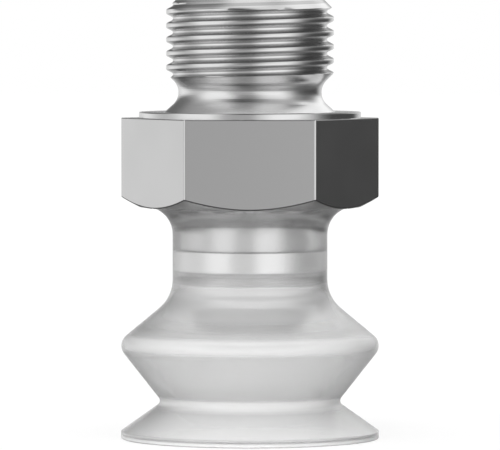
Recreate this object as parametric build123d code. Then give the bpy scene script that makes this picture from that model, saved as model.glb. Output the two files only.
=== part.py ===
from build123d import *
import os
from math import hypot, radians, tan

# Bellows suction cup with a one-and-a-half-fold silicone bellows, pushed onto the barbed
# nipple of a turned hexagon fitting with a male pipe thread.
# Millimetres, +Z up. The origin is the centre of the lip's underside, on the cup's axis.

# Bellows, outside. Heights are measured upwards from one corner of the profile to the next.
rim_diameter = 15.0          # the sealing edge of the lip
rim_edge = 0.42              # straight outer edge of the lip
waist_diameter = 10.52       # narrow land between the lip and the fold
waist_height = 2.16          # to the middle of that land
waist_land = 0.28
crest_diameter = 15.54       # sharp corner of the fold, rounded to the rim's diameter
lower_fold_height = 3.34
collar_diameter = 9.0        # sleeve around the nipple
upper_fold_height = 2.72
collar_height = 5.27
crest_round = 0.74
foot_round = 2.2             # where the upper fold runs into the collar
flare_round = 1.62           # where the collar spreads against the hexagon
flare_edge = 0.067           # thickness left at the flare's outer edge

# Bellows, inside.
fold_wall = 0.8
lip_wall = 0.55
waist_opening = 8.96         # the chamber's narrowest place

# Where the bellows bends and where it keeps its shape.
grip_below_head = 0.38       # the collar grips this far down the nipple's head
crest_band_up = 0.48         # stiff band above and below the crest's corner
crest_band_down = 0.58
waist_band = 0.27            # the same above and below the middle of the waist's land

# Hexagon fitting, from the collar's top upwards.
hexagon_flats = 13.0         # 13 mm spanner
hexagon_height = 5.16
hexagon_chamfer_angle = 30.0
seat_diameter = 13.0         # thin turned seat on the hexagon
seat_height = 0.34
undercut_round = 0.96
undercut_seat_diameter = 9.9
undercut_diameter = 8.32
undercut_thread_diameter = 9.2
undercut_height = 2.06
thread_diameter = 9.728      # G1/8 male, at the thread's crests
thread_height = 4.44         # with its end chamfer
thread_chamfer = 0.54

# Nipple, from the hexagon downwards. Each barb has a square upper edge, which keeps the cup
# on, and tapers below, where the cup is pushed on.
neck_diameter, neck_length = 5.8, 2.55
barb_diameter, barb_length = 7.5, 1.20
groove_diameter, barb_taper = 6.3, 0.76
head_diameter, head_length = 7.5, 0.63
pilot_diameter, head_taper = 6.7, 0.75
pilot_length = 1.10
tip_diameter, tip_length = 5.8, 0.50
grip_clearance = 0.02        # on the radius, between the nipple and the stretched silicone

# Air way.
air_diameter = 3.5
air_chamfer = 0.3

crest_height = waist_height + lower_fold_height
foot_height = crest_height + upper_fold_height
hexagon_base = foot_height + collar_height
seat_base = hexagon_base + hexagon_height
seat_top = seat_base + seat_height
thread_base = seat_top + undercut_height
thread_top = thread_base + thread_height

barb_top = hexagon_base - neck_length
barb_end = barb_top - barb_length
head_top = barb_end - barb_taper
head_end = head_top - head_length
pilot_top = head_end - head_taper
pilot_end = pilot_top - pilot_length
tip_height = pilot_end - tip_length


def turned(points, rounds=()):
    """A solid of revolution from radius and height corners, some of them rounded."""
    section = make_face(Polyline(*points, close=True))
    for corner, radius in rounds:
        section = fillet(section.vertices().sort_by_distance((*corner, 0))[0], radius)
    return revolve(Plane.XZ * section, Axis.Z)


def inside(start, end, wall):
    """The line from start to end, moved by one wall to its right, as two points."""
    across = (end[1] - start[1], start[0] - end[0])
    length = hypot(*across)
    shift = (across[0] / length * wall, across[1] / length * wall)
    return [(r + shift[0], z + shift[1]) for r, z in (start, end)]


def crossing(first, second):
    """The point where two lines meet, each given by two points."""
    (ax, ay), (bx, by) = first
    (cx, cy), (dx, dy) = second
    ux, uy, vx, vy = bx - ax, by - ay, dx - cx, dy - cy
    along = ((cx - ax) * vy - (cy - ay) * vx) / (ux * vy - uy * vx)
    return (ax + along * ux, ay + along * uy)


def at_radius(line, radius):
    return crossing(line, [(radius, 0), (radius, 1)])


def at_height(line, height):
    return crossing(line, [(0, height), (1, height)])


def barbs_down(spread=0.0):
    """The nipple's outline from the hexagon down to the lower end of its head."""
    corners = [
        (neck_diameter, hexagon_base),
        (neck_diameter, barb_top),
        (barb_diameter, barb_top),
        (barb_diameter, barb_end),
        (groove_diameter, head_top),
        (head_diameter, head_top),
        (head_diameter, head_end),
    ]
    return [(diameter / 2 + spread, height) for diameter, height in corners]


def bellows_blank():
    """The whole moulding: lip, waist, fold and the collar that grips the nipple."""
    rim = (rim_diameter / 2, rim_edge)
    waist_low = (waist_diameter / 2, waist_height - waist_land / 2)
    waist_high = (waist_diameter / 2, waist_height + waist_land / 2)
    crest = (crest_diameter / 2, crest_height)
    foot = (collar_diameter / 2, foot_height)
    collar_top = (collar_diameter / 2, hexagon_base)

    lip_inside = inside(waist_low, rim, lip_wall)
    lower_inside = inside(crest, waist_high, fold_wall)
    upper_inside = inside(foot, crest, fold_wall)
    mouth = at_radius(upper_inside, head_diameter / 2 + grip_clearance)
    chamber = [
        mouth,
        crossing(lower_inside, upper_inside),
        at_radius(lower_inside, waist_opening / 2),
        at_radius(lip_inside, waist_opening / 2),
        at_height(lip_inside, 0),
    ]

    outline = [(rim_diameter / 2, 0), rim, waist_low, waist_high, crest, foot, collar_top]
    outline += barbs_down(grip_clearance)[:-1] + chamber
    return turned(outline, [(crest, crest_round), (foot, foot_round)]) + collar_flare()


def collar_flare():
    """The fillet that spreads the collar's top against the hexagon."""
    radius = collar_diameter / 2
    drop = flare_round - flare_edge
    reach = flare_round - (flare_round**2 - drop**2) ** 0.5
    with BuildPart() as flare:
        with BuildSketch(Plane.XZ):
            with BuildLine():
                start = (radius, hexagon_base - flare_edge - drop)
                edge = (radius + reach, hexagon_base - flare_edge)
                TangentArc(start, edge, tangent=(0, 1))
                Polyline(edge, (radius + reach, hexagon_base), (radius, hexagon_base), start)
            make_face()
        revolve(axis=Axis.Z)
    return flare.part


def zone(blank, low, high):
    """The part of the bellows between two heights."""
    slab = Cylinder(rim_diameter, high - low, align=(Align.CENTER, Align.CENTER, Align.MIN))
    return blank & (Pos(0, 0, low) * slab)


def hexagon():
    """The spanner hexagon, its lower corners turned off at the chamfer angle."""
    prism = extrude(RegularPolygon(hexagon_flats / 2, 6, major_radius=False), hexagon_height)
    flat_radius = hexagon_flats / 2
    beyond = hexagon_flats
    rise = (beyond - flat_radius) * tan(radians(hexagon_chamfer_angle))
    turning = [(0, 0), (flat_radius, 0), (beyond, rise), (beyond, beyond), (0, beyond)]
    return Pos(0, 0, hexagon_base) * (prism & turned(turning))


def seat_and_thread():
    """The seat, the rounded undercut above it and the plain body of the thread."""
    thread_radius = thread_diameter / 2
    blank = turned([
        (0, seat_base),
        (seat_diameter / 2, seat_base),
        (seat_diameter / 2, seat_top),
        (undercut_seat_diameter / 2, seat_top),
        (undercut_diameter / 2, (seat_top + thread_base) / 2),
        (undercut_thread_diameter / 2, thread_base),
        (thread_radius, thread_base),
        (thread_radius, thread_top - thread_chamfer),
        (thread_radius - thread_chamfer, thread_top),
        (0, thread_top),
    ], [((undercut_diameter / 2, (seat_top + thread_base) / 2), undercut_round)])
    return blank


def nipple():
    """The barbed nipple below the hexagon, with its pilot and chamfered tip."""
    end = [
        (pilot_diameter / 2, pilot_top),
        (pilot_diameter / 2, pilot_end),
        (tip_diameter / 2, tip_height),
        (0, tip_height),
    ]
    return turned([(0, hexagon_base)] + barbs_down() + end)


def air_way():
    """The straight air way through the whole fitting, countersunk at both ends."""
    radius = air_diameter / 2
    return turned([
        (0, tip_height),
        (radius + air_chamfer, tip_height),
        (radius, tip_height + air_chamfer),
        (radius, thread_top - air_chamfer),
        (radius + air_chamfer, thread_top),
        (0, thread_top),
    ])


def threaded_fitting():
    return hexagon() + seat_and_thread() + nipple() - air_way()


def bellows_zones():
    """The moulding, divided where it bends and where it keeps its shape."""
    blank = bellows_blank()
    grip_end = head_top - grip_below_head
    heights = {
        "bellows_collar": (grip_end, hexagon_base),
        "bellows_upper_fold": (crest_height + crest_band_up, grip_end),
        "bellows_crest": (crest_height - crest_band_down, crest_height + crest_band_up),
        "bellows_lower_fold": (waist_height + waist_band, crest_height - crest_band_down),
        "bellows_waist": (waist_height - waist_band, waist_height + waist_band),
        "bellows_lip_skirt": (rim_edge, waist_height - waist_band),
        "bellows_lip_rim": (0, rim_edge),
    }
    return {name: zone(blank, low, high) for name, (low, high) in heights.items()}


os.makedirs("parts", exist_ok=True)
export_step(threaded_fitting(), "parts/threaded_fitting.step")
for name, shape in bellows_zones().items():
    export_step(shape, f"parts/{name}.step")
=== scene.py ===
from math import ceil, cos, degrees, hypot, pi, radians, sin, sqrt, tan

import bmesh
import bpy
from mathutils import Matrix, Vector


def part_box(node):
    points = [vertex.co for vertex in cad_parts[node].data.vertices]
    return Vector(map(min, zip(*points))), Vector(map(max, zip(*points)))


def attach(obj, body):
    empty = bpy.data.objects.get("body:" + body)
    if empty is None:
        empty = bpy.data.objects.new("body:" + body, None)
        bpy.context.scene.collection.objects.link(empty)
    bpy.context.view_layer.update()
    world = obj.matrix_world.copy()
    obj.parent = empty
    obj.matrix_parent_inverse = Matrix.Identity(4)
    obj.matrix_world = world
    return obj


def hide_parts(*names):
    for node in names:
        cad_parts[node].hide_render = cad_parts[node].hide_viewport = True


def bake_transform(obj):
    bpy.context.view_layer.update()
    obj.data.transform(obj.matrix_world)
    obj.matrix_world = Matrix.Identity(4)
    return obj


# A bellows suction cup: a see-through silicone bellows on a turned and threaded metal fitting.
# The cup stands on its lip at the origin, and its axis is the Z axis. Outlines are lists of
# (radius, height) in millimetres, and the mesh tools turn them into metres.

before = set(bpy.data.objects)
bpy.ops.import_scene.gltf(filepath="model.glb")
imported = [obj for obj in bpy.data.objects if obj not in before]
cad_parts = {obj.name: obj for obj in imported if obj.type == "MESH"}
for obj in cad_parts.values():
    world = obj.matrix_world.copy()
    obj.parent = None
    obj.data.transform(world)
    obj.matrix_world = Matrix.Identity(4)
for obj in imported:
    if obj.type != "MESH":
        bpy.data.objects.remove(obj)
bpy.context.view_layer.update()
mm = 0.001


# Outline tools

guardDistance = 0.015            # millimetres from an edge to the mesh row that guards its shading
slack = 0.001                    # millimetres by which a measure may miss and still count


def roundedOutline(corners, arcStep):
    # corners are (radius, height) or (radius, height, rounding); the two ends stay sharp.
    # arcStep is the most that one step of a rounding turns, in degrees.
    points = []
    for i, corner in enumerate(corners):
        here = Vector(corner[:2])
        rounding = corner[2] if len(corner) > 2 else 0.0
        if not rounding or i in (0, len(corners) - 1):
            points.append(here)
            continue
        before = (Vector(corners[i - 1][:2]) - here).normalized()
        after = (Vector(corners[i + 1][:2]) - here).normalized()
        half = before.angle(after) / 2
        back = rounding / tan(half)
        middle = here + (before + after).normalized() * (rounding / sin(half))
        start = here + before * back - middle
        sweep = start.angle_signed(here + after * back - middle)
        steps = max(2, ceil(abs(degrees(sweep)) / arcStep))
        for k in range(steps + 1):
            turn = -sweep * k / steps
            x = start.x * cos(turn) - start.y * sin(turn)
            y = start.x * sin(turn) + start.y * cos(turn)
            points.append(middle + Vector((x, y)))
    return [(p.x, p.y) for p in points]


def dividedOutline(points, step):
    # long straight stretches get more points, no further apart than step
    out = []
    for a, b in zip(points, points[1:]):
        parts = max(1, ceil(hypot(b[0] - a[0], b[1] - a[1]) / step))
        for k in range(parts):
            share = k / parts
            out.append((a[0] + (b[0] - a[0]) * share, a[1] + (b[1] - a[1]) * share))
    return out + [points[-1]]


def guardedOutline(points):
    # a point near both ends of each long stretch keeps the stretch's shading straight
    out = [points[0]]
    for a, b in zip(points, points[1:]):
        length = hypot(b[0] - a[0], b[1] - a[1])
        if length > 4 * guardDistance:
            for share in (guardDistance / length, 1 - guardDistance / length):
                out.append((a[0] + (b[0] - a[0]) * share, a[1] + (b[1] - a[1]) * share))
        out.append(b)
    return out


def shiftedLine(start, end, wall):
    # the line from start to end, moved by one wall to its right
    across = Vector((end[1] - start[1], start[0] - end[0])).normalized() * wall
    return Vector(start[:2]) + across, Vector(end[:2]) + across


def lineCrossing(first, second):
    (a, b), (c, d) = first, second
    u, v = b - a, d - c
    along = ((c.x - a.x) * v.y - (c.y - a.y) * v.x) / (u.x * v.y - u.y * v.x)
    return a + u * along


def atHeight(line, height):
    return tuple(lineCrossing(line, (Vector((0, height)), Vector((1, height)))))


# Mesh tools

sharpAngle = 28.0                # degrees between two faces from which their edge is drawn sharp
sameSpot = 0.0003                # millimetres within which two points become one
shortestEdge = 0.0002            # millimetres; shorter edges are taken out


def ringAt(radius, height, columns):
    return [(radius * cos(a), radius * sin(a), height) for a in columns]


def ringsToPiece(name, rings, slots, materials, meets=None):
    # Joins each ring of (x, y, z) to the next and the last to the first. slots gives the material
    # of the strip above each ring. meets gives the ring that a ring's last column closes on,
    # which is its own for a plain ring and a higher one for a helix.
    count = len(rings)
    meets = meets or list(range(count))
    work = bmesh.new()
    grid = [[work.verts.new((x * mm, y * mm, z * mm)) for x, y, z in ring] for ring in rings]
    for i in range(count):
        top = (i + 1) % count
        low = grid[i] + [grid[meets[i]][0]]
        high = grid[top] + [grid[meets[top]][0]]
        for j in range(len(low) - 1):
            corners = dict.fromkeys((low[j], low[j + 1], high[j + 1], high[j]))
            work.faces.new(list(corners)).material_index = slots[i]
    bmesh.ops.remove_doubles(work, verts=work.verts, dist=sameSpot * mm)
    bmesh.ops.dissolve_degenerate(work, edges=work.edges, dist=shortestEdge * mm)
    bmesh.ops.recalc_face_normals(work, faces=work.faces)
    for face in work.faces:
        face.smooth = True
    for edge in work.edges:
        if len(edge.link_faces) == 2:
            edge.smooth = edge.calc_face_angle(0.0) < radians(sharpAngle)
    mesh = bpy.data.meshes.new(name)
    work.to_mesh(mesh)
    work.free()
    for material in materials:
        mesh.materials.append(material)
    piece = bpy.data.objects.new(name, mesh)
    bpy.context.scene.collection.objects.link(piece)
    return piece


# Node tools

def newMaterial(name):
    material = bpy.data.materials.new(name)
    material.use_nodes = True
    return material, material.node_tree.nodes, material.node_tree.links


def mathNode(nodes, links, operation, first, second=None):
    node = nodes.new("ShaderNodeMath")
    node.operation = operation
    for socket, value in zip(node.inputs, (first, second)):
        if hasattr(value, "links"):
            links.new(value, socket)
        elif value is not None:
            socket.default_value = value
    return node.outputs[0]


def objectPlace(nodes, links):
    # the place on the object in millimetres: x, y, z and the distance from the axis
    place = nodes.new("ShaderNodeTexCoord")
    parts = nodes.new("ShaderNodeSeparateXYZ")
    links.new(place.outputs["Object"], parts.inputs[0])
    x, y, z = (mathNode(nodes, links, "MULTIPLY", parts.outputs[k], 1 / mm) for k in range(3))
    squares = mathNode(
        nodes, links, "ADD",
        mathNode(nodes, links, "MULTIPLY", x, x),
        mathNode(nodes, links, "MULTIPLY", y, y))
    return x, y, z, mathNode(nodes, links, "SQRT", squares)


def noiseAt(nodes, links, parts, scale, detail):
    # noise read at (x, y, z) sockets; a socket left out is constant, which draws long streaks
    vector = nodes.new("ShaderNodeCombineXYZ")
    for socket, part in zip(vector.inputs, parts):
        if part is not None:
            links.new(part, socket)
    noise = nodes.new("ShaderNodeTexNoise")
    noise.inputs["Scale"].default_value = scale
    noise.inputs["Detail"].default_value = detail
    links.new(vector.outputs[0], noise.inputs["Vector"])
    return noise.outputs["Fac"]


noiseMiddle = (0.3, 0.7)         # the range that most of a noise's values fall in


def spread(nodes, links, value, low, high):
    # maps the middle of a noise to the range from low to high
    node = nodes.new("ShaderNodeMapRange")
    node.inputs["From Min"].default_value = noiseMiddle[0]
    node.inputs["From Max"].default_value = noiseMiddle[1]
    node.inputs["To Min"].default_value = low
    node.inputs["To Max"].default_value = high
    links.new(value, node.inputs["Value"])
    return node.outputs[0]


def blendAt(nodes, links, value, start, end, before, after):
    # runs smoothly from one level to another while value goes from start to end
    node = nodes.new("ShaderNodeMapRange")
    node.interpolation_type = "SMOOTHSTEP"
    node.inputs["From Min"].default_value = start
    node.inputs["From Max"].default_value = end
    links.new(value, node.inputs["Value"])
    for name, level in (("To Min", before), ("To Max", after)):
        if hasattr(level, "links"):
            links.new(level, node.inputs[name])
        else:
            node.inputs[name].default_value = level
    return node.outputs[0]


def bumpFrom(nodes, links, height, depth):
    node = nodes.new("ShaderNodeBump")
    node.inputs["Distance"].default_value = depth * mm
    links.new(height, node.inputs["Height"])
    return node.outputs[0]


# Finishes

# tone, roughness range, scale of the tool's lines per millimetre and their depth in millimetres
metalLook = {
    "turned": {"tone": 0.68, "roughness": (0.17, 0.24), "lines": 6.0, "depth": 0.0010},
    # painted shade: the thread's upper flank is a darker copy of the turned metal
    "shadedUpperFlank": {"tone": 0.50, "roughness": (0.20, 0.26), "lines": 6.0, "depth": 0.0010},
    "drawn": {"tone": 0.64, "roughness": (0.20, 0.25), "lines": 4.0, "depth": 0.0004},
    # shadedUnderside: painted shade, a darker and rougher copy of the turned metal on the hexagon's
    # underside and chamfer
    "shadedUnderside": {"tone": 0.46, "roughness": (0.34, 0.40), "lines": 6.0, "depth": 0.0010},
    # paintedDarkEdge: a painted dark reflection, nearly black metal on the bevel between the
    # chamfer and the flats
    "paintedDarkEdge": {"tone": 0.16, "roughness": (0.34, 0.40), "lines": 6.0, "depth": 0.0010},
    "undercut": {"tone": 0.74, "roughness": (0.23, 0.265), "lines": 9.0, "depth": 0.0010},
    # nipple: painted light, a brighter copy of the turned metal so that the nipple shines through
    # the silicone
    "nipple": {"tone": 0.92, "roughness": (0.18, 0.24), "lines": 6.0, "depth": 0.0006},
    # shadedNippleEnd: painted shade, a dark copy of the turned metal on the nipple's pilot and tip
    "shadedNippleEnd": {"tone": 0.28, "roughness": (0.34, 0.40), "lines": 6.0, "depth": 0.0010},
}
lineDetail, cloudDetail = 3.0, 1.0
cloudScale = {"turned": 0.5, "drawn": 0.3, "silicone": 0.25}     # per millimetre
streakLength = 20.0              # how much longer than wide the drawn bar's streaks are


def makeMetal(name, texture):
    look = metalLook[name]
    material, nodes, links = newMaterial(name + "Metal")
    shader = nodes["Principled BSDF"]
    shader.inputs["Metallic"].default_value = 1.0
    shader.inputs["Base Color"].default_value = (look["tone"], look["tone"], look["tone"], 1)
    lines, clouds = texture(nodes, links, look["lines"])
    links.new(spread(nodes, links, clouds, *look["roughness"]), shader.inputs["Roughness"])
    links.new(bumpFrom(nodes, links, lines, look["depth"]), shader.inputs["Normal"])
    return material


def turnedTexture(nodes, links, scale):
    # fine lathe lines that run round the axis, on cylinders, cones and flat faces alike
    x, y, z, radius = objectPlace(nodes, links)
    lines = noiseAt(nodes, links, (radius, None, z), scale, lineDetail)
    return lines, noiseAt(nodes, links, (x, y, z), cloudScale["turned"], cloudDetail)


def drawnTexture(nodes, links, scale):
    # faint lengthwise streaks of the drawn bar
    x, y, z = objectPlace(nodes, links)[:3]
    slowZ = mathNode(nodes, links, "MULTIPLY", z, 1 / streakLength)
    lines = noiseAt(nodes, links, (x, y, slowZ), scale, lineDetail)
    return lines, noiseAt(nodes, links, (x, y, z), cloudScale["drawn"], cloudDetail)


siliconeLook = {
    "tone": (0.97, 0.97, 0.97, 1),
    # how clear the silicone looks at each height. Thick places scatter more light; the less clear
    # bands at the crest and the waist are also painted highlights, matt bands that the lamps light
    "clearAlong": [
        (0.0, 0.76), (1.75, 0.72), (1.95, 0.52), (2.35, 0.48), (2.55, 0.78), (4.9, 0.80),
        (5.12, 0.82), (5.3, 0.70), (5.6, 0.62), (5.95, 0.60), (6.2, 0.78), (6.5, 0.80),
        (7.2, 0.70), (8.5, 0.68), (9.1, 0.76), (9.65, 0.76), (9.85, 0.92), (13.5, 0.92),
    ],
    # the same for the lip's straight outer edge, where the levels paint a highlight line and a
    # shade line along the rim
    "edgeClear": [(0.0, 0.45), (0.16, 0.45), (0.26, 0.92), (0.36, 0.62)],
    "roughness": (0.20, 0.26),
    "ior": 1.41,
    "grain": 1.2,                # noise scale of the moulded skin, per millimetre
    "grainDepth": 0.0020,        # millimetres
    "grainDetail": 2.0,
    "absorption": 105.0,         # per metre of wall
}

# attributes of the bellows meshes: how clear the silicone is at a point, and the faces inside
# the wall, where one piece of the bellows ends and the next begins
clearness = "clearness"
insideWall = "insideWall"


def makeSilicone():
    material, nodes, links = newMaterial("translucentSilicone")
    shader = nodes["Principled BSDF"]
    shader.inputs["Base Color"].default_value = siliconeLook["tone"]
    clear = nodes.new("ShaderNodeAttribute")
    clear.attribute_name = clearness
    links.new(clear.outputs["Fac"], shader.inputs["Transmission Weight"])
    shader.inputs["IOR"].default_value = siliconeLook["ior"]
    x, y, z = objectPlace(nodes, links)[:3]
    grain = noiseAt(nodes, links, (x, y, z), siliconeLook["grain"], siliconeLook["grainDetail"])
    clouds = noiseAt(nodes, links, (x, y, z), cloudScale["silicone"], cloudDetail)
    links.new(spread(nodes, links, clouds, *siliconeLook["roughness"]), shader.inputs["Roughness"])
    bump = bumpFrom(nodes, links, grain, siliconeLook["grainDepth"])
    links.new(bump, shader.inputs["Normal"])

    # the real bellows is one moulding, so the joins of its pieces stay clear
    joins = nodes.new("ShaderNodeAttribute")
    joins.attribute_name = insideWall
    alpha = mathNode(nodes, links, "SUBTRACT", 1.0, joins.outputs["Fac"])
    links.new(alpha, shader.inputs["Alpha"])

    # the mid grey halves what the density takes away, so the density is doubled
    volume = nodes.new("ShaderNodeVolumeAbsorption")
    volume.inputs["Color"].default_value = (0.5, 0.5, 0.5, 1)
    volume.inputs["Density"].default_value = 2 * siliconeLook["absorption"]
    links.new(volume.outputs[0], nodes["Material Output"].inputs["Volume"])
    return material


metals = {
    name: makeMetal(name, drawnTexture if name == "drawn" else turnedTexture)
    for name in metalLook}
silicone = makeSilicone()
print("finishes made")


# The fitting

fittingBox = [Vector(corner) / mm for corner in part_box("threaded_fitting")]
collarBox = [Vector(corner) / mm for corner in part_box("bellows_collar")]

fittingSizes = {
    "flats": 2 * fittingBox[1].y,        # across the hexagon's flats
    "hexagonLow": collarBox[1].z,
    "hexagonHeight": 5.16,
    "chamferAngle": 30.0,
    "cornerRound": 0.15,                 # the hexagon's upright edges
    "edge": 0.05,                        # broken edges of the hexagon and the seat
    "seatHeight": 0.34,
    "seatRise": 0.01,                    # of the hexagon's top face, where it meets the seat
    "undercutRadius": 4.16,
    "undercutRound": 0.96,
    "undercutHeight": 1.14,              # of its narrowest place, above the seat
    "threadRadius": 4.864,
    "threadDepth": 0.38,
    "pitch": 0.81,
    "crestPlace": 21.97,                 # height of one crest on the +X side
    "crestShare": 0.31,                  # flat share of one turn at the crest
    "flankShare": 0.24,
    "topRadius": 4.32,                   # at the end of the 45 degree chamfer
    "top": fittingBox[1].z,
    "tip": fittingBox[0].z,
    "bore": 1.75,
    "boreChamfer": 0.3,
}

# one flank of the thread from the groove up, as shares of its width and of its depth
threadFlank = [(0.15, 0.82), (0.5, 0.47), (0.82, 0.14), (1.0, 0.03)]
crestRound = 0.035                   # share of one turn over which each side of a crest is rounded
grooveFlat = (0.25, 0.75)            # stretch of the groove's width that has the full depth
grooveSide = 0.93                    # depth at the groove's two sides, as a share

# the nipple's parts from the hexagon down: upper radius, lower radius and length
nippleParts = [
    (2.90, 2.90, 2.55),                  # neck
    (3.75, 3.75, 1.20),                  # barb and its taper
    (3.75, 3.15, 0.76),
    (3.75, 3.75, 0.63),                  # head and its taper
    (3.75, 3.35, 0.75),
    (3.35, 3.35, 1.10),                  # pilot and its chamfered tip
    (3.35, 2.90, 0.50),
]
nippleEdge = 0.04
neckShadeLength = 0.95                      # length of the neck next to the hexagon that has painted shade, in the turned metal's darker tone


def fittingColumns():
    # angles of the mesh's columns, close together at the hexagon's six edges
    nearEdge = [0.0, 0.12, 0.24, 0.36, 0.48, 0.75]
    steps = 56
    first, last = 1.2, 58.8
    angles = []
    for side in range(6):
        start = 60.0 * side
        angles += [start + a for a in nearEdge]
        angles += [start + first + (last - first) * k / steps for k in range(steps + 1)]
        angles += [start + 60.0 - a for a in reversed(nearEdge[1:])]
    return [radians(a) for a in angles]


def hexagonRadius(angle, flats, rounding):
    fromFlat = degrees(angle) % 60.0 - 30.0
    tangentAt = 30.0 - degrees(rounding * tan(pi / 6) / (flats / 2)) * cos(pi / 6)**2
    if abs(fromFlat) <= tangentAt:
        return flats / 2 / cos(radians(fromFlat))
    centre = (flats / 2 - rounding) / cos(pi / 6)
    fromCorner = radians(30.0 - abs(fromFlat))
    return centre * cos(fromCorner) + sqrt(max(0.0, rounding**2 - (centre * sin(fromCorner))**2))


def nippleOutline(inset=0.0):
    # from the hexagon down to the tip; inset moves the outline into the metal
    height = fittingSizes["hexagonLow"]
    corners = [(nippleParts[0][0] - inset, height)]
    for upper, lower, length in nippleParts:
        if upper - inset > corners[-1][0] + nippleEdge:
            corners[-1] = (corners[-1][0], height - inset)
            corners.append((upper - inset, height - inset))
        height -= length
        corners.append((lower - inset, height))
    return corners


def threadProfile():
    # (share of one turn, depth below the crest) round one groove and one crest
    s = fittingSizes
    rootShare = 1.0 - s["crestShare"] - 2 * s["flankShare"]
    depth = s["threadDepth"]
    flank = s["flankShare"]
    rise = rootShare + flank
    fall = rise + s["crestShare"]
    groove = [(0.0, depth * grooveSide)]
    groove += [(rootShare * across, depth) for across in grooveFlat]
    groove += [(rootShare, depth * grooveSide)]
    crest = [(rise + crestRound, 0.0), (rise + s["crestShare"] / 2, 0.0), (fall - crestRound, 0.0)]
    lower = [(rootShare + flank * across, depth * down) for across, down in threadFlank]
    upper = [(fall + flank * (1 - across), depth * down) for across, down in threadFlank[::-1]]
    return groove + lower + crest + upper


def fittingRings():
    # the rings of the whole fitting from its tip up and back down through the air way
    s = fittingSizes
    columns = fittingColumns()
    rings, finishes = [], []

    def add(ring, finish="turned"):
        rings.append(ring)
        finishes.append(finish)

    def addOutline(points, finish="turned"):
        for radius, height in guardedOutline(points):
            add(ringAt(radius, height, columns), finish)

    # tip face and nipple. The nipple's brighter metal is painted light where it shines through the
    # silicone; the neck's stretch next to the hexagon takes the darker turned metal as painted
    # shade, the head's band keeps the turned metal, and the pilot and tip have a dark metal that is
    # painted shade
    tipFace = (s["bore"] + s["boreChamfer"], s["tip"])
    upward = [(*corner, nippleEdge) for corner in nippleOutline()[::-1]]
    shadeFrom = s["hexagonLow"] - neckShadeLength
    upward.insert(-1, (nippleParts[0][0], shadeFrom))
    headTop = s["hexagonLow"] - sum(length for upper, lower, length in nippleParts[:3])
    headEnd = headTop - nippleParts[3][2]
    pilotTop = headEnd - nippleParts[4][2]
    for radius, height in guardedOutline(roundedOutline([tipFace] + upward, 20.0)):
        onHead = headEnd - nippleEdge < height < headTop
        finish = "turned" if onHead or height > shadeFrom - slack else "nipple"
        add(ringAt(radius, height, columns), "shadedNippleEnd" if height < pilotTop else finish)

    # hexagon: turned underside and chamfer in a darker metal that is painted shade, a painted dark
    # reflection on the bevel below the flats, drawn flats, flat top
    low, edge = s["hexagonLow"], s["edge"]
    high = low + s["hexagonHeight"]
    inscribed = s["flats"] / 2
    slope = radians(s["chamferAngle"])
    outer = [hexagonRadius(a, s["flats"], s["cornerRound"]) for a in columns]

    def hexRing(inward, heights):
        return [((r - inward) * cos(a), (r - inward) * sin(a), z)
                for r, a, z in zip(outer, columns, heights)]

    chamfer = [low + max(0.0, r - inscribed) * tan(slope) for r in outer]
    wide, slim = edge * 0.8, edge * 0.2
    belowEdge = [z - wide * sin(slope) * (z > low) for z in chamfer]
    # painted shade on the underside and chamfer, then the painted dark reflection on the bevel
    add(ringAt(inscribed - edge, low, columns), "shadedUnderside")
    add(hexRing(wide * cos(slope), belowEdge), "paintedDarkEdge")
    add(hexRing(slim, [z + slim for z in chamfer]), "paintedDarkEdge")
    add(hexRing(0.0, [z + edge for z in chamfer]), "drawn")
    add(hexRing(0.0, [z + edge + guardDistance for z in chamfer]), "drawn")
    add(hexRing(0.0, [high - edge - guardDistance] * len(columns)), "drawn")
    middle = edge * 0.3
    add(hexRing(0.0, [high - edge] * len(columns)))
    add(hexRing(middle, [high - middle] * len(columns)))
    add(hexRing(edge, [high] * len(columns)))
    add(hexRing(edge + guardDistance, [high] * len(columns)))

    # seat and undercut
    seatTop = high + s["seatHeight"]
    seatRadius = inscribed - edge
    narrow = seatTop + s["undercutHeight"]
    reach = s["undercutRound"]
    side = s["undercutRadius"] + reach * (1 - cos(pi / 4))
    foot = narrow - reach * sin(pi / 4)
    start = narrow + reach * sin(pi / 4)
    seatFoot = high + s["seatRise"]
    addOutline([(seatRadius, seatFoot), (seatRadius, seatTop - edge),
                (seatRadius - middle, seatTop - middle), (seatRadius - edge, seatTop)])
    addOutline([(side + foot - seatTop + edge, seatTop), (side + foot - seatTop, seatTop + edge)],
               "undercut")
    arcSteps = 14
    arc = [-pi / 4 + pi / 2 * k / arcSteps for k in range(arcSteps + 1)]
    addOutline([(s["undercutRadius"] + reach * (1 - cos(a)), narrow + reach * sin(a)) for a in arc],
               "undercut")

    # thread: rows that climb one pitch a turn, held inside the run-out and the end chamfer
    profile = threadProfile()
    rows = len(profile)
    crestMiddle = 1.0 - s["flankShare"] - s["crestShare"] / 2
    turnsBelow = ceil((s["crestPlace"] - start) / s["pitch"] - crestMiddle)
    base = s["crestPlace"] - (turnsBelow + crestMiddle) * s["pitch"]
    turns = ceil((s["top"] - base) / s["pitch"]) + 1
    first = len(rings)
    last = first + turns * rows
    for row in range(turns * rows + 1):
        share, depth = profile[row % rows]
        ring = []
        for a in columns:
            height = base + s["pitch"] * (row // rows - 1 + share + a / (2 * pi))
            height = min(max(height, start), s["top"])
            radius = min(s["threadRadius"] - depth, side + height - start,
                         s["topRadius"] + s["top"] - height)
            ring.append((radius * cos(a), radius * sin(a), height))
        # the upper flank of each turn takes the darker metal, which is painted shade
        add(ring, "shadedUpperFlank" if share >= 1.0 - s["flankShare"] else "turned")

    # end face and air way
    boreEdge = s["bore"] + s["boreChamfer"]
    addOutline([(boreEdge, s["top"]), (s["bore"], s["top"] - s["boreChamfer"]),
                (s["bore"], s["tip"] + s["boreChamfer"])])

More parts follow.
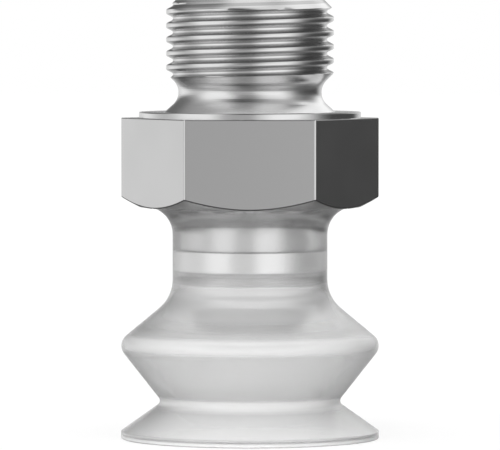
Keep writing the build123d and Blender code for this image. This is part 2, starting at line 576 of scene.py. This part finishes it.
    meets = [min(i + rows, last) if first <= i <= last else i for i in range(len(rings))]
    slots = [list(metals).index(finish) for finish in finishes]
    return rings, slots, meets


def buildFitting():
    rings, slots, meets = fittingRings()
    piece = ringsToPiece("hexagonFitting", rings, slots, metals.values(), meets)
    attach(piece, "fitting")
    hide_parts("threaded_fitting")
    print("fitting made:", len(piece.data.polygons), "faces")


# The bellows

bellowsSizes = {
    "rim": 7.5,
    "rimEdge": 0.42,
    "rimRound": 0.06,
    "rimRows": (0.15, 0.10),             # mesh rows under the lip, from its outer and inner edge
    "waist": (5.12, 2.12, 0.33),         # corner and its rounding
    "crest": (7.77, 5.50, 0.74),
    "foot": (4.50, 8.22, 2.2),
    "flareRound": 1.62,
    "flareEdge": 0.067,
    "foldWall": 0.80,
    "lipWall": 0.55,
    "crestInside": 0.3,
    "waistInside": 0.4,
    "grip": 0.015,                       # the silicone is pressed this far over the metal
    "upperSeam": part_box("bellows_crest")[0].z / mm,
    "lowerSeam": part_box("bellows_waist")[0].z / mm,
    "seamGap": 0.002,
    "columns": 240,
    "step": 0.14,
}
headCorner = 6                   # place of the head's lower corner in the nipple's outline


def bellowsLines():
    # the straight stretches of the bellows inside and outside
    b = bellowsSizes
    rim = (b["rim"], b["rimEdge"])
    return {
        "lipOutside": (Vector(b["waist"][:2]), Vector(rim)),
        "lowerOutside": (Vector(b["crest"][:2]), Vector(b["waist"][:2])),
        "lipInside": shiftedLine(b["waist"], rim, b["lipWall"]),
        "lowerInside": shiftedLine(b["crest"], b["waist"], b["foldWall"]),
        "upperInside": shiftedLine(b["foot"], b["crest"], b["foldWall"]),
    }


def flareOutline():
    b = bellowsSizes
    collar = b["foot"][0]
    top = fittingSizes["hexagonLow"]
    middle = top - b["flareRound"]
    last = top - b["flareEdge"]
    steps = 12
    points = []
    for k in range(steps + 1):
        height = middle + (last - middle) * sin(pi / 2 * k / steps)
        reach = b["flareRound"] - sqrt(b["flareRound"]**2 - (height - middle)**2)
        points.append((collar + reach, height))
    return points + [(points[-1][0], top + b["grip"])]


def upperOutline(lines):
    b = bellowsSizes
    seamOut = atHeight(lines["lowerOutside"], b["upperSeam"])
    seamIn = atHeight(lines["lowerInside"], b["upperSeam"])
    outside = roundedOutline([seamOut, b["crest"], b["foot"], flareOutline()[0]], 6.0)
    outside = outside[:-1] + flareOutline()
    nipple = nippleOutline(b["grip"])
    nipple[0] = (nipple[0][0], fittingSizes["hexagonLow"] + b["grip"])
    headTaper = Vector(nipple[headCorner]), Vector(nipple[headCorner + 1])
    mouth = tuple(lineCrossing(headTaper, lines["upperInside"]))
    inner = tuple(lineCrossing(lines["lowerInside"], lines["upperInside"]))
    inside = nipple[:headCorner + 1] + [mouth, (*inner, b["crestInside"]), seamIn]
    return outside, roundedOutline(inside, 10.0)


def clearnessAt(place):
    x, y, height = place / mm
    b = bellowsSizes
    onEdge = hypot(x, y) > b["rim"] - slack and height < b["rimEdge"]
    levels = siliconeLook["edgeClear" if onEdge else "clearAlong"]
    for (low, before), (high, after) in zip(levels, levels[1:]):
        if height < high:
            return before + (after - before) * max(0.0, (height - low) / (high - low))
    return levels[-1][1]


def markMesh(mesh, name, domain, values):
    mesh.attributes.new(name, "FLOAT", domain).data.foreach_set("value", values)


def revolvePiece(name, outside, inside, cuts):
    # A closed ring of wall. cuts names the joins that it has: "start" where the lists begin and
    # end, and "turn" where the outside list runs over to the inside one.
    b = bellowsSizes
    columns = [2 * pi * k / b["columns"] for k in range(b["columns"])]
    outside = dividedOutline(outside, b["step"])
    inside = dividedOutline(inside, b["step"])
    rings = [ringAt(r, z, columns) for r, z in outside + inside]
    skin, join = 0, 1
    slots = [skin] * len(rings)
    if "start" in cuts:
        slots[-1] = join
    if "turn" in cuts:
        slots[len(outside) - 1] = join
    piece = ringsToPiece(name, rings, slots, [silicone])
    faces = piece.data.polygons
    markMesh(piece.data, insideWall, "FACE", [float(face.material_index) for face in faces])
    faces.foreach_set("material_index", [skin] * len(faces))
    markMesh(piece.data, clearness, "POINT", [clearnessAt(v.co) for v in piece.data.vertices])
    print(name, "made:", len(faces), "faces")
    return piece


def buildBellows():
    b = bellowsSizes
    lines = bellowsLines()
    upperEnd = b["upperSeam"] - b["seamGap"]
    lowerEnd = b["lowerSeam"] - b["seamGap"]

    # collar, upper fold and crest
    outside, inside = upperOutline(lines)
    upper = revolvePiece("bellowsCollarAndCrest", outside, inside, ["start"])
    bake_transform(upper)
    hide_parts("bellows_collar", "bellows_upper_fold", "bellows_crest")

    # lower fold and waist
    outside = roundedOutline([
        atHeight(lines["lowerOutside"], upperEnd), b["waist"],
        atHeight(lines["lipOutside"], b["lowerSeam"])], 8.0)
    inner = tuple(lineCrossing(lines["lipInside"], lines["lowerInside"]))
    inside = roundedOutline([
        atHeight(lines["lipInside"], b["lowerSeam"]), (*inner, b["waistInside"]),
        atHeight(lines["lowerInside"], upperEnd)], 8.0)
    lower = revolvePiece("bellowsLowerFold", outside, inside, ["start", "turn"])
    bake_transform(lower)
    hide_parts("bellows_lower_fold", "bellows_waist")

    # lip
    rimInside = atHeight(lines["lipInside"], 0)
    fromOuter, fromInner = b["rimRows"]
    outside = roundedOutline([
        atHeight(lines["lipOutside"], lowerEnd), (b["rim"], b["rimEdge"], b["rimRound"]),
        (b["rim"], 0, b["rimRound"]), (b["rim"] - fromOuter, 0)], 15.0)
    inside = roundedOutline([
        (rimInside[0] + fromInner, 0), (*rimInside, b["rimRound"] / 2),
        atHeight(lines["lipInside"], lowerEnd)], 15.0)
    lip = revolvePiece("bellowsLip", outside, inside, ["start"])
    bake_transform(lip)
    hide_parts("bellows_lip_skirt", "bellows_lip_rim")


buildFitting()
buildBellows()


# The studio

studio = {
    "cameraDistance": 0.308,
    "cameraHeight": 0.0251,
    "cameraPitch": 2.36,         # degrees down
    "lens": 381.6,
    "sensor": 36.0,
    "floor": ((-0.07, -0.06), (0.07, 1.2)),      # two corners; beyond it the world is as white
    "floorDrop": 0.02,           # millimetres below the lip
    "floorTone": 0.90,
    "floorRoughness": 0.9,
    "floorWhite": 1.03,
    "shadowShare": 0.20,         # how much of the floor's own shading shows near the cup
    "shadowReach": (9.0, 26.0),  # millimetres from the axis over which it fades out
    "worldLight": 0.38,
}
panelLights = {
    "overheadPanel": {"place": (-0.02, -0.10, 0.36), "size": 0.30, "power": 0.8},
    "frontPanel": {"place": (-0.05, -0.35, 0.09), "size": 0.16, "power": 1.2},
}
panelAim = (0, 0, 0.010)

# What the metal mirrors. Each ring of levels goes round the cup, in degrees from the camera's
# side with its right positive. The bands say at which height above the horizon, in degrees, one
# level runs over into the next.
mirrorDome = {
    "radius": 0.30,
    "segments": (48, 24),                # round the dome and from its foot to its top
    "gain": 1.25,                        # strength that a level of 1 shines with
    "seenThroughSilicone": 0.74,         # how much of the levels shows through the silicone
    "below": 0.68,
    "low": [
        (-180, 0.28), (-126, 0.20), (-95, 0.24), (-66, 0.30), (-30, 0.26), (-4, 0.13), (8, 0.14),
        (38, 0.25), (65, 0.20), (85, 0.12), (106, 0.10), (126, 0.14), (180, 0.28),
    ],
    "horizon": [
        (-180, 0.60), (-152, 0.68), (-138, 0.86), (-122, 0.78), (-112, 0.62), (-98, 0.50),
        (-84, 0.62), (-70, 0.92), (-42, 0.94), (-26, 0.44), (-12, 0.41), (2, 0.41), (12, 0.80),
        (24, 1.0), (50, 1.0), (68, 0.50), (80, 0.16), (92, 0.06), (136, 0.06), (148, 0.50),
        (160, 0.68), (180, 0.60),
    ],
    "high": [
        (-180, 0.10), (-126, 0.15), (-100, 0.36), (-76, 0.90), (-36, 0.88), (-16, 0.24), (4, 0.24),
        (28, 0.82), (58, 0.85), (80, 0.28), (106, 0.12), (125, 0.30), (138, 0.80), (146, 1.0),
        (160, 1.0), (167, 0.40), (180, 0.12),
    ],
    "higher": [
        (-180, 0.15), (-125, 0.32), (-108, 0.38), (-92, 0.50), (-77, 0.62), (-61, 0.52),
        (-45, 0.26), (-28, 0.08), (-4, 0.06), (10, 0.12), (26, 0.26), (43, 0.40), (60, 0.44),
        (92, 0.42), (104, 0.50), (113, 0.95), (125, 1.0), (150, 0.80), (165, 0.30), (180, 0.15),
    ],
    "above": 0.88,
    "bands": [(-85, -60), (-15, -5), (5, 16), (30, 46), (65, 84)],
}


def lightPathOr(nodes, links, names):
    path = nodes.new("ShaderNodeLightPath")
    value = path.outputs[names[0]]
    for name in names[1:]:
        value = mathNode(nodes, links, "MAXIMUM", value, path.outputs[name])
    return value


def makeWorld():
    world = bpy.data.worlds.new("paleStudio")
    world.use_nodes = True
    bpy.context.scene.world = world
    nodes, links = world.node_tree.nodes, world.node_tree.links
    plain = nodes["Background"]
    plain.inputs["Color"].default_value = (1, 1, 1, 1)
    plain.inputs["Strength"].default_value = studio["worldLight"]
    white = nodes.new("ShaderNodeBackground")
    white.inputs["Color"].default_value = (1, 1, 1, 1)
    white.inputs["Strength"].default_value = 1.0
    mix = nodes.new("ShaderNodeMixShader")
    seen = ["Is Camera Ray", "Is Glossy Ray", "Is Transmission Ray"]
    links.new(lightPathOr(nodes, links, seen), mix.inputs[0])
    links.new(plain.outputs[0], mix.inputs[1])
    links.new(white.outputs[0], mix.inputs[2])
    links.new(mix.outputs[0], nodes["World Output"].inputs["Surface"])


def makeFloor():
    # white paper that shows only a soft shadow near the cup
    (left, front), (right, back) = studio["floor"]
    mesh = bpy.data.meshes.new("floor")
    mesh.from_pydata([(left, front, 0), (right, front, 0), (right, back, 0), (left, back, 0)],
                     [], [(0, 1, 2, 3)])
    floor = bpy.data.objects.new("floor", mesh)
    floor.location.z = -studio["floorDrop"] * mm
    bpy.context.scene.collection.objects.link(floor)
    material, nodes, links = newMaterial("paleFloor")
    tone = studio["floorTone"]
    shader = nodes["Principled BSDF"]
    shader.inputs["Base Color"].default_value = (tone, tone, tone, 1)
    shader.inputs["Roughness"].default_value = studio["floorRoughness"]
    shader.inputs["Specular IOR Level"].default_value = 0.0
    white = nodes.new("ShaderNodeEmission")
    white.inputs["Strength"].default_value = studio["floorWhite"]
    radius = objectPlace(nodes, links)[3]
    fade = blendAt(nodes, links, radius, *studio["shadowReach"], 1 - studio["shadowShare"], 1.0)
    seen = lightPathOr(nodes, links, ["Is Camera Ray", "Is Transmission Ray"])
    mix = nodes.new("ShaderNodeMixShader")
    links.new(mathNode(nodes, links, "MULTIPLY", seen, fade), mix.inputs[0])
    links.new(shader.outputs[0], mix.inputs[1])
    links.new(white.outputs[0], mix.inputs[2])
    links.new(mix.outputs[0], nodes["Material Output"].inputs["Surface"])
    floor.data.materials.append(material)
    floor.visible_glossy = False


def levelRamp(nodes, links, share, levels):
    ramp = nodes.new("ShaderNodeValToRGB")
    stops = ramp.color_ramp.elements
    while len(stops) < len(levels):
        stops.new(0.5)
    for stop, (turn, level) in zip(stops, levels):
        stop.position = turn / 360 + 0.5
        stop.color = (level, level, level, 1)
    links.new(share, ramp.inputs[0])
    return ramp.outputs[0]


def makeMirrorDome():
    # soft panels round the cup, which only reflections and what shows through the silicone see
    work = bmesh.new()
    columns, rows = mirrorDome["segments"]
    bmesh.ops.create_uvsphere(
        work, u_segments=columns, v_segments=rows, radius=mirrorDome["radius"])
    mesh = bpy.data.meshes.new("reflectionDome")
    work.to_mesh(mesh)
    work.free()
    dome = bpy.data.objects.new("reflectionDome", mesh)
    bpy.context.scene.collection.objects.link(dome)
    material, nodes, links = newMaterial("reflectionDome")
    nodes.remove(nodes["Principled BSDF"])
    x, y, z, radius = objectPlace(nodes, links)
    toCamera = mathNode(nodes, links, "MULTIPLY", y, -1.0)
    around = mathNode(nodes, links, "ARCTAN2", x, toCamera)
    around = mathNode(nodes, links, "ADD", mathNode(nodes, links, "DIVIDE", around, 2 * pi), 0.5)
    upwards = mathNode(nodes, links, "DEGREES", mathNode(nodes, links, "ARCTAN2", z, radius))
    level = mirrorDome["below"]
    rings = [
        levelRamp(nodes, links, around, mirrorDome[name])
        for name in ("low", "horizon", "high", "higher")]
    for ring, (start, end) in zip(rings + [mirrorDome["above"]], mirrorDome["bands"]):
        level = blendAt(nodes, links, upwards, start, end, level, ring)
    path = nodes.new("ShaderNodeLightPath")
    through = mathNode(
        nodes, links, "MULTIPLY", path.outputs["Is Transmission Ray"],
        1 - mirrorDome["seenThroughSilicone"])
    missing = mathNode(nodes, links, "SUBTRACT", 1.0, level)
    haze = mathNode(nodes, links, "MULTIPLY", missing, through)
    level = mathNode(nodes, links, "ADD", level, haze)
    glow = nodes.new("ShaderNodeEmission")
    links.new(
        mathNode(nodes, links, "MULTIPLY", level, mirrorDome["gain"]), glow.inputs["Strength"])
    links.new(glow.outputs[0], nodes["Material Output"].inputs["Surface"])
    dome.data.materials.append(material)
    dome.visible_camera = False
    dome.visible_diffuse = False
    dome.visible_shadow = False
    dome.visible_volume_scatter = False


def addPanelLight(name):
    panel = panelLights[name]
    data = bpy.data.lights.new(name, "AREA")
    data.shape = "SQUARE"
    data.size = panel["size"]
    data.energy = panel["power"]
    lamp = bpy.data.objects.new(name, data)
    lamp.location = panel["place"]
    towards = Vector(panelAim) - Vector(panel["place"])
    lamp.rotation_euler = towards.to_track_quat("-Z", "Y").to_euler()
    lamp.visible_glossy = False
    lamp.visible_transmission = False
    bpy.context.scene.collection.objects.link(lamp)


def makeCamera():
    s = studio
    data = bpy.data.cameras.new("camera")
    data.lens = s["lens"]
    data.sensor_width = s["sensor"]
    camera = bpy.data.objects.new("camera", data)
    camera.location = (0, -s["cameraDistance"], s["cameraHeight"])
    camera.rotation_euler = (radians(90 - s["cameraPitch"]), 0, 0)
    bpy.context.scene.collection.objects.link(camera)
    bpy.context.scene.camera = camera


makeWorld()
makeFloor()
makeMirrorDome()
for name in panelLights:
    addPanelLight(name)
makeCamera()
view = bpy.context.scene.view_settings
view.view_transform = "Standard"
print("studio made")
